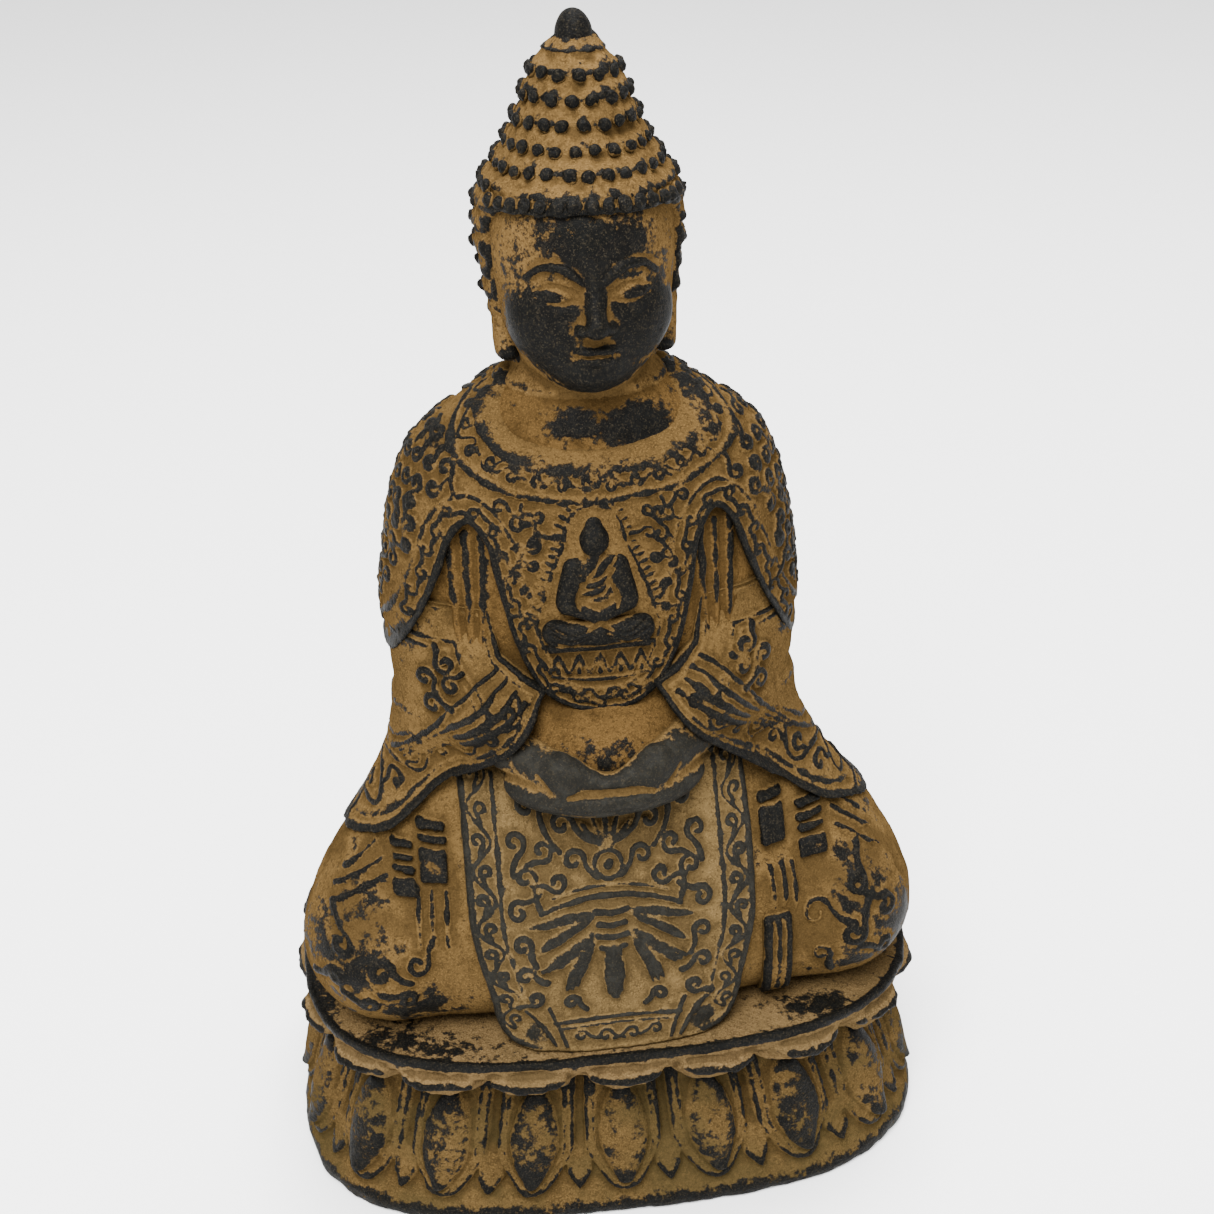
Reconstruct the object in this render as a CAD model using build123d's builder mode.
"""Seated Buddha on a double lotus throne: a hollow iron figure made of cast sections.

Millimetres. +Z is up, the figure faces -Y, and the origin is the middle of the underside.
The sections stand on each other and one tie rod, screwed into the chest, draws them together.
"""

import math
import os

from build123d import *

# Driving dimensions
TOTAL_HEIGHT = 200.0
BASE_WIDTH = 116.0
BASE_DEPTH = 80.0
BASE_HEIGHT = 28.0
PLINTH_HEIGHT = 4.0
ROUNDNESS = 3.0  # power of the superellipse that the throne is drawn with
SEAT_WIDTH = 110.0
SEAT_DEPTH = 82.0
SEAT_TOP = 37.0
SEAT_RIM = 3.0
LAP_TOP = 84.0
NECK_TOP = 144.0
GARMENT_TOP = 139.0
WALL = 5.0
HOLLOW_TOP = 124.0
SKIN = 1.6  # how far a garment stands off what it covers
PETALS = 20
PETAL_WIDTH = 13.0
PETAL_LENGTH = 23.0
SEAT_PETAL_RADIUS = 5.5
PLATE_LEVEL = 0.6
PLATE_THICKNESS = 1.5
ROD_RADIUS = 3.0
ROD_CLEARANCE = 0.3
ROD_BOTTOM = 16.5
ROD_TOP = 130.5
THREAD_GAP = 0.02
WASHER_THICKNESS = 1.0
NUT_THICKNESS = 3.6
TENON_RADIUS = 7.0
TENON_LENGTH = 10.0
TENON_CLEARANCE = 0.1
CURL_RADIUS = 1.7
CURL_LIFT = 0.12
CURL_PITCH = 4.2
CURL_RING_STEP = 4.2
HAIR_FOOT = 149.0
HAIR_TOP = 195.0

# Each row of a section list: level, half width, half depth, superellipse power, middle y
HIP_SECTIONS = [
    (SEAT_TOP, 40.0, 24.0, 2.3, 3.0),
    (50.0, 42.0, 25.0, 2.3, 3.0),
    (66.0, 38.0, 24.0, 2.2, 2.0),
    (LAP_TOP, 33.5, 20.5, 2.1, 0.0),
]
SHIN_SECTIONS = [
    (SEAT_TOP, 46.0, 17.0, 2.5, -15.5),
    (43.0, 50.0, 18.5, 2.5, -15.5),
    (50.0, 51.5, 19.0, 2.5, -15.0),
    (58.0, 49.0, 18.5, 2.4, -14.5),
    (66.0, 42.0, 17.0, 2.3, -13.5),
    (74.0, 32.0, 15.0, 2.2, -12.0),
    (82.0, 22.0, 12.0, 2.1, -10.5),
]
TORSO_SECTIONS = [
    (LAP_TOP, 33.0, 20.5, 2.1, 0.0),
    (95.0, 33.5, 20.5, 2.1, 0.0),
    (106.0, 33.4, 20.0, 2.1, 0.0),
    (118.0, 31.5, 18.5, 2.1, 0.0),
    (128.0, 29.0, 16.5, 2.1, 0.0),
    (135.0, 25.0, 14.5, 2.0, 0.0),
    (140.0, 18.0, 12.5, 2.0, 0.0),
    (NECK_TOP, 12.0, 11.0, 2.0, 0.0),
]
HOLLOW_SECTIONS = [
    (SEAT_TOP, 34.0, 18.0, 2.4, 1.0),
    (60.0, 34.0, 18.0, 2.3, 1.0),
    (LAP_TOP, 26.0, 14.5, 2.1, 0.0),
    (108.0, 27.0, 14.0, 2.1, 0.0),
    (HOLLOW_TOP, 20.0, 10.0, 2.0, 0.0),
]
SEAT_SECTIONS = [
    (BASE_HEIGHT, BASE_WIDTH / 2 - 12, BASE_DEPTH / 2 - 9, ROUNDNESS, 0.0),
    (SEAT_TOP - SEAT_RIM, SEAT_WIDTH / 2 - 1.2, SEAT_DEPTH / 2 - 1.2, ROUNDNESS, 0.0),
    (SEAT_TOP, SEAT_WIDTH / 2, SEAT_DEPTH / 2, ROUNDNESS, 0.0),
]
BASE_SECTIONS = [
    (PLINTH_HEIGHT, BASE_WIDTH / 2 - 4, BASE_DEPTH / 2 - 4, ROUNDNESS, 0.0),
    (BASE_HEIGHT, BASE_WIDTH / 2 - 12, BASE_DEPTH / 2 - 9, ROUNDNESS, 0.0),
]
BASE_HOLLOW_SECTIONS = [
    (0.0, BASE_WIDTH / 2 - 12, BASE_DEPTH / 2 - 12, ROUNDNESS, 0.0),
    (BASE_HEIGHT - WALL, BASE_WIDTH / 2 - 20, BASE_DEPTH / 2 - 17, ROUNDNESS, 0.0),
]
HEAD_SECTIONS = [
    (146.5, 7.0, 7.0, 2.0, -7.0),
    (150.0, 11.0, 11.5, 2.0, -4.5),
    (156.0, 13.4, 15.5, 2.0, -2.0),
    (164.0, 14.4, 16.8, 2.0, -1.0),
    (172.0, 14.0, 16.2, 2.0, -0.6),
    (179.0, 11.0, 12.5, 2.0, -0.4),
]
HAIR_SECTIONS = [
    (HAIR_FOOT, 13.0, 13.0, 2.0, 1.0),
    (158.0, 15.6, 17.0, 2.0, 0.0),
    (166.0, 16.6, 18.6, 2.0, -0.4),
    (173.0, 16.4, 18.6, 2.0, -0.6),
    (179.0, 14.2, 16.0, 2.0, -0.4),
    (184.0, 11.2, 12.0, 2.0, 0.0),
    (190.0, 8.6, 9.0, 2.0, 0.0),
    (HAIR_TOP, 4.6, 4.6, 2.0, 0.0),
]
HAIRLINE_FRONT = (-18.8, 175.0)  # y and z of the hairline over the forehead
HAIRLINE_BACK = (-2.0, 150.0)  # y and z of the hairline beside the jaw

os.makedirs("parts", exist_ok=True)


def oval_point(angle, half_x, half_y, power, middle_y=0.0):
    """A point of a superellipse, for an angle in radians."""
    c, s = math.cos(angle), math.sin(angle)
    x = half_x * math.copysign(abs(c) ** (2 / power), c)
    y = half_y * math.copysign(abs(s) ** (2 / power), s)
    return x, y + middle_y


def oval(level, half_x, half_y, power=2.0, middle_y=0.0, middle_x=0.0, grow=0.0):
    """A closed superellipse outline at one level, grown outward by an offset."""
    sides = 24
    ring = [
        oval_point(2 * math.pi * i / sides, half_x + grow, half_y + grow, power, middle_y)
        for i in range(sides)
    ]
    with BuildSketch(Plane.XY.offset(level)) as outline:
        with BuildLine():
            Spline(*[(x + middle_x, y) for x, y in ring], periodic=True)
        make_face()
    return outline.sketch


def stack(sections, grow=0.0, mode=Mode.ADD):
    """Lofts the part being built through a list of sections."""
    loft([oval(*section, grow=grow) for section in sections], mode=mode)


def section_at(sections, level):
    """The section row of a stack at any level between its ends."""
    for low, high in zip(sections, sections[1:]):
        if low[0] <= level <= high[0]:
            t = (level - low[0]) / (high[0] - low[0])
            return [a + t * (b - a) for a, b in zip(low, high)]
    raise ValueError(level)


def spaced_angles(count, half_x, half_y, power):
    """Angles whose superellipse points lie evenly along the outline, half a step off the x axis."""
    fine = 1440
    points = [oval_point(2 * math.pi * i / fine, half_x, half_y, power) for i in range(fine + 1)]
    walked = [0.0]
    for before, after in zip(points, points[1:]):
        walked.append(walked[-1] + math.dist(before, after))
    angles = []
    for i in range(count):
        target = walked[-1] * (i + 0.5) / count
        nearest = min(range(fine), key=lambda k: abs(walked[k] - target))
        angles.append(2 * math.pi * nearest / fine)
    return angles


def petal_places(count, half_x, half_y, level, lean):
    """Planes spaced around the throne, whose z axes lean outward going down."""
    places = []
    for angle in spaced_angles(count, half_x, half_y, ROUNDNESS):
        x, y = oval_point(angle, half_x, half_y, ROUNDNESS)
        out_x = math.copysign(abs(x / half_x) ** (ROUNDNESS - 1) / half_x, x)
        out_y = math.copysign(abs(y / half_y) ** (ROUNDNESS - 1) / half_y, y)
        outward = Vector(out_x, out_y, 0).normalized()
        across = Vector(0, 0, 1).cross(outward)
        places.append(Plane(origin=(x, y, level), x_dir=across, z_dir=Vector(0, 0, 1) - outward * lean))
    return places


def cut_away(*neighbours):
    """Takes neighbouring masses away from the part being built."""
    for neighbour in neighbours:
        add(neighbour.part, mode=Mode.SUBTRACT)


def save(piece, name):
    """Labels a finished piece and writes its STEP file."""
    piece.part.label = name
    export_step(piece.part, f"parts/{name}.step")


# Plain envelopes that the pieces are cut against
with BuildPart() as leg_mass:
    stack(HIP_SECTIONS)
    stack(SHIN_SECTIONS)

with BuildPart() as torso_mass:
    stack(TORSO_SECTIONS)

with BuildPart() as dressed_mass:
    stack(TORSO_SECTIONS, grow=SKIN)

with BuildPart() as head_mass:
    stack(HEAD_SECTIONS)

# Lower lotus tier: plinth, spreading wall and its ring of down-turned petals
with BuildPart() as petal:
    with BuildSketch(Plane.XZ):
        with BuildLine():
            Spline(
                (0, -PETAL_LENGTH / 2),
                (PETAL_WIDTH / 2, -PETAL_LENGTH / 10),
                (0, PETAL_LENGTH / 2),
                tangents=((1, 0.9), (-0.6, 1)),
            )
            Line((0, PETAL_LENGTH / 2), (0, -PETAL_LENGTH / 2))
        make_face()
    revolve(axis=Axis.Z)

with BuildPart() as lotus_base:
    extrude(oval(0.0, BASE_WIDTH / 2, BASE_DEPTH / 2, ROUNDNESS), amount=PLINTH_HEIGHT)
    stack(BASE_SECTIONS)
    for place in petal_places(PETALS, BASE_WIDTH / 2 - 8.5, BASE_DEPTH / 2 - 7.5, 15.0, 0.3):
        add(petal.part.moved(place.location))
    with Locations((0, 0, BASE_HEIGHT + 20)):
        Box(200, 200, 40, mode=Mode.SUBTRACT)
    stack(BASE_HOLLOW_SECTIONS, mode=Mode.SUBTRACT)
    with Locations((0, 0, BASE_HEIGHT)):
        Hole(ROD_RADIUS + ROD_CLEARANCE)

# Plate that bears on the taper of the hollow and closes it from below
with BuildPart() as base_plate:
    _, half_x, half_y, power, _ = section_at(BASE_HOLLOW_SECTIONS, PLATE_LEVEL + PLATE_THICKNESS)
    extrude(oval(PLATE_LEVEL, half_x - 0.3, half_y - 0.3, power), amount=PLATE_THICKNESS)

# Upper lotus tier: the slab that the figure sits on, with its up-turned petals under the rim
with BuildPart() as lotus_seat:
    stack(SEAT_SECTIONS[:2])
    stack(SEAT_SECTIONS[1:])
    for place in petal_places(PETALS, SEAT_WIDTH / 2 - 6.5, SEAT_DEPTH / 2 - 6.5, 33.6, 0.0):
        with Locations(place.location):
            Sphere(SEAT_PETAL_RADIUS)
    with Locations((0, 0, SEAT_TOP + 20)):
        Box(200, 200, 40, mode=Mode.SUBTRACT)
    with Locations((0, 0, BASE_HEIGHT - 20)):
        Box(200, 200, 40, mode=Mode.SUBTRACT)
    with Locations((0, 0, SEAT_TOP)):
        Hole(ROD_RADIUS + ROD_CLEARANCE)

# Crossed legs under the robe
with BuildPart() as crossed_legs:
    add(leg_mass.part)
    stack(HOLLOW_SECTIONS, mode=Mode.SUBTRACT)

# Chest, back and upper arms, with the socket for the neck and the blind hole for the rod
with BuildPart() as torso:
    add(torso_mass.part)
    stack(HOLLOW_SECTIONS, mode=Mode.SUBTRACT)
    with Locations((0, 0, NECK_TOP)):
        Hole(TENON_RADIUS, depth=TENON_LENGTH)
    with Locations((0, 0, (ROD_TOP + HOLLOW_TOP) / 2)):
        Cylinder(ROD_RADIUS + THREAD_GAP, ROD_TOP - HOLLOW_TOP + 1.0, mode=Mode.SUBTRACT)

# Shoulder cape: a skin over the torso, cut to a middle lobe, two arched gaps and two side flaps
CAPE_HEM = 98.0
GAP_TOP = 126.0
GAP_X = 20.0
hem_right = [
    (0, CAPE_HEM),
    (9, CAPE_HEM + 6),
    (GAP_X - 5, GAP_TOP - 10),
    (GAP_X, GAP_TOP),
    (GAP_X + 5, GAP_TOP - 10),
    (31, CAPE_HEM + 8),
]
hem_left = [(-x, z) for x, z in reversed(hem_right[1:])]
with BuildPart() as cape:
    stack(TORSO_SECTIONS, grow=SKIN)
    cut_away(torso_mass)
    with BuildSketch(Plane.XZ.offset(-BASE_DEPTH)):
        with BuildLine():
            Polyline((-70, 60), (-70, CAPE_HEM + 4), (-36, CAPE_HEM), hem_left[0])
            Spline(*hem_left, *hem_right)
            Polyline(hem_right[-1], (36, CAPE_HEM), (70, CAPE_HEM + 4), (70, 60), (-70, 60))
        make_face()
    extrude(amount=2 * BASE_DEPTH, mode=Mode.SUBTRACT)
    with Locations((0, 0, GARMENT_TOP + 25)):
        Box(100, 100, 50, mode=Mode.SUBTRACT)

# Little seated figure in relief on the cape
with BuildPart() as chest_medallion:
    with BuildSketch(Plane.XZ.offset(23.2)):
        with Locations((0, 112)):
            RectangleRounded(16, 5, 2)
        with Locations((0, 116.5)):
            Ellipse(7.5, 3.5)
        with Locations((0, 120.5)):
            Ellipse(5, 4.5)
        with Locations((0, 126.6)):
            Circle(2.6)
    extrude(amount=-10)
    cut_away(dressed_mass)

# Sleeves: level, middle x, middle y, half width and half depth of the cloth on the left arm
SLEEVE_SECTIONS = [
    (67.0, 39.5, -13.0, 5.0, 5.0),
    (73.0, 35.0, -14.0, 9.0, 9.0),
    (80.0, 29.5, -16.0, 12.0, 12.5),
    (88.0, 25.5, -16.5, 13.0, 14.5),
    (95.0, 26.0, -13.0, 11.0, 13.5),
    (101.0, 29.0, -5.0, 6.0, 9.0),
]


def sleeve(side):
    """The cloth from the elbow to the wrist and down over the thigh, on one side."""
    with BuildPart() as made:
        loft(
            [
                oval(level, half_x, half_y, 2.0, middle_y, side * middle_x)
                for level, middle_x, middle_y, half_x, half_y in SLEEVE_SECTIONS
            ]
        )
        cut_away(leg_mass, dressed_mass)
    return made


right_sleeve = sleeve(-1)
left_sleeve = sleeve(1)

# Hands resting in the lap
with BuildPart() as folded_hands:
    with BuildSketch(Plane.XZ.offset(16)):
        with Locations((0, 87)):
            Ellipse(16, 8)
    with BuildSketch(Plane.XZ.offset(26)):
        with Locations((0, 87)):
            Ellipse(16, 7)
    with BuildSketch(Plane.XZ.offset(33)):
        with Locations((0, 85)):
            Ellipse(12, 4)
    loft()
    cut_away(leg_mass, dressed_mass, right_sleeve, left_sleeve)

# Apron: the worked panel that hangs over the shins and turns onto the seat
APRON_WIDTH = 46.0
with BuildPart() as apron:
    stack(SHIN_SECTIONS, grow=SKIN)
    cut_away(leg_mass)
    with Locations((0, -60, 60)):
        Box(APRON_WIDTH, 100, 80, mode=Mode.INTERSECT)
    with Locations((0, -34.5, SEAT_TOP + 0.5)):
        Box(APRON_WIDTH - 8, 6, 1)
    with Locations((0, 0, SEAT_TOP - 20)):
        Box(200, 200, 40, mode=Mode.SUBTRACT)
    cut_away(leg_mass, folded_hands, right_sleeve, left_sleeve)

# Sash end hanging beside the apron
with BuildPart() as sash_end:
    with Locations((28, -25, SEAT_TOP + 9.5)):
        Box(6, 22, 19)
    cut_away(leg_mass, apron)

# Head with its neck and tenon
with BuildPart() as head:
    add(head_mass.part)
    with Locations((0, -1, NECK_TOP)):
        Cylinder(10.0, 8, align=(Align.CENTER, Align.CENTER, Align.MIN))
    with Locations((0, 0, NECK_TOP - TENON_LENGTH + 0.5)):
        Cylinder(TENON_RADIUS - TENON_CLEARANCE, TENON_LENGTH, align=(Align.CENTER, Align.CENTER, Align.MIN))

# Hair cap, open over the face
face_cut = Plane(
    origin=(0, *HAIRLINE_FRONT),
    x_dir=(1, 0, 0),
    z_dir=(
        0,
        HAIRLINE_BACK[1] - HAIRLINE_FRONT[1],
        HAIRLINE_FRONT[0] - HAIRLINE_BACK[0],
    ),
)
with BuildPart() as hair_cap:
    stack(HAIR_SECTIONS)
    split(bisect_by=face_cut, keep=Keep.BOTTOM)
    cut_away(head)


def ear(side):
    """A long-lobed ear standing off the side of the head."""
    with BuildPart() as made:
        with BuildSketch(Plane.YZ.offset(side * 12)):
            with Locations((-3.0, 157)):
                SlotCenterToCenter(14, 7, rotation=82)
        extrude(amount=side * 5.2)
        cut_away(head, hair_cap)
    return made


right_ear = ear(-1)
left_ear = ear(1)

# Snail curls: rings of half balls that stand on the hair cap
with BuildPart() as hair_curls:
    cap = hair_cap.part
    rings = int((HAIR_TOP - HAIR_FOOT) / CURL_RING_STEP)
    for ring in range(rings):
        level = HAIR_FOOT + CURL_RING_STEP * (ring + 0.6)
        _, half_x, half_y, _, middle_y = section_at(HAIR_SECTIONS, level)
        count = round(math.pi * (half_x + half_y) / CURL_PITCH)
        for i in range(count):
            angle = 2 * math.pi * (i + 0.5 * (ring % 2)) / count
            x, y = oval_point(angle, half_x, half_y, 2.0)
            away = Vector(x, y, 0).normalized()
            aim = Vector(x, y + middle_y, level)
            by_ear = abs(x) > 12 and -9.5 < y < 3.5 and level < 170
            if by_ear or face_cut.to_local_coords(aim).Z > -CURL_RADIUS:
                continue
            hits = cap.find_intersection_points(Axis((0, middle_y, level), tuple(away)))
            point, normal = max(hits, key=lambda hit: hit[0].dot(away))
            if normal.dot(away) < 0:
                normal = -normal
            with Locations(Plane(origin=point + normal * CURL_LIFT, z_dir=normal)):
                Sphere(CURL_RADIUS, arc_size1=0, align=(Align.CENTER, Align.CENTER, Align.MIN))

# Jewel on the crown
with BuildPart() as crown_jewel:
    with BuildSketch(Plane.XZ):
        with BuildLine():
            Line((0, HAIR_TOP), (4.4, HAIR_TOP))
            Spline((4.4, HAIR_TOP), (3.5, HAIR_TOP + 3), (0, TOTAL_HEIGHT), tangents=((0, 1), (-1, 0)))
            Line((0, TOTAL_HEIGHT), (0, HAIR_TOP))
        make_face()
    revolve(axis=Axis.Z)

# Tie rod with its washer and nut under the ceiling of the base
CEILING = BASE_HEIGHT - WALL
with BuildPart() as tie_rod:
    with Locations((0, 0, ROD_BOTTOM)):
        Cylinder(ROD_RADIUS, ROD_TOP - ROD_BOTTOM, align=(Align.CENTER, Align.CENTER, Align.MIN))

with BuildPart() as tie_washer:
    with BuildSketch(Plane.XY.offset(CEILING - WASHER_THICKNESS)):
        Circle(7.0)
        Circle(ROD_RADIUS + ROD_CLEARANCE, mode=Mode.SUBTRACT)
    extrude(amount=WASHER_THICKNESS)

with BuildPart() as tie_nut:
    with BuildSketch(Plane.XY.offset(CEILING - WASHER_THICKNESS - NUT_THICKNESS)):
        RegularPolygon(5.8, 6)
        Circle(ROD_RADIUS + THREAD_GAP, mode=Mode.SUBTRACT)
    extrude(amount=NUT_THICKNESS)

for made, name in (
    (lotus_base, "lotus_base"),
    (base_plate, "base_plate"),
    (lotus_seat, "lotus_seat"),
    (crossed_legs, "crossed_legs"),
    (torso, "torso"),
    (cape, "cape"),
    (chest_medallion, "chest_medallion"),
    (right_sleeve, "right_sleeve"),
    (left_sleeve, "left_sleeve"),
    (folded_hands, "folded_hands"),
    (apron, "apron"),
    (sash_end, "sash_end"),
    (head, "head"),
    (right_ear, "right_ear"),
    (left_ear, "left_ear"),
    (hair_cap, "hair_cap"),
    (hair_curls, "hair_curls"),
    (crown_jewel, "crown_jewel"),
    (tie_rod, "tie_rod"),
    (tie_washer, "tie_washer"),
    (tie_nut, "tie_nut"),
):
    save(made, name)
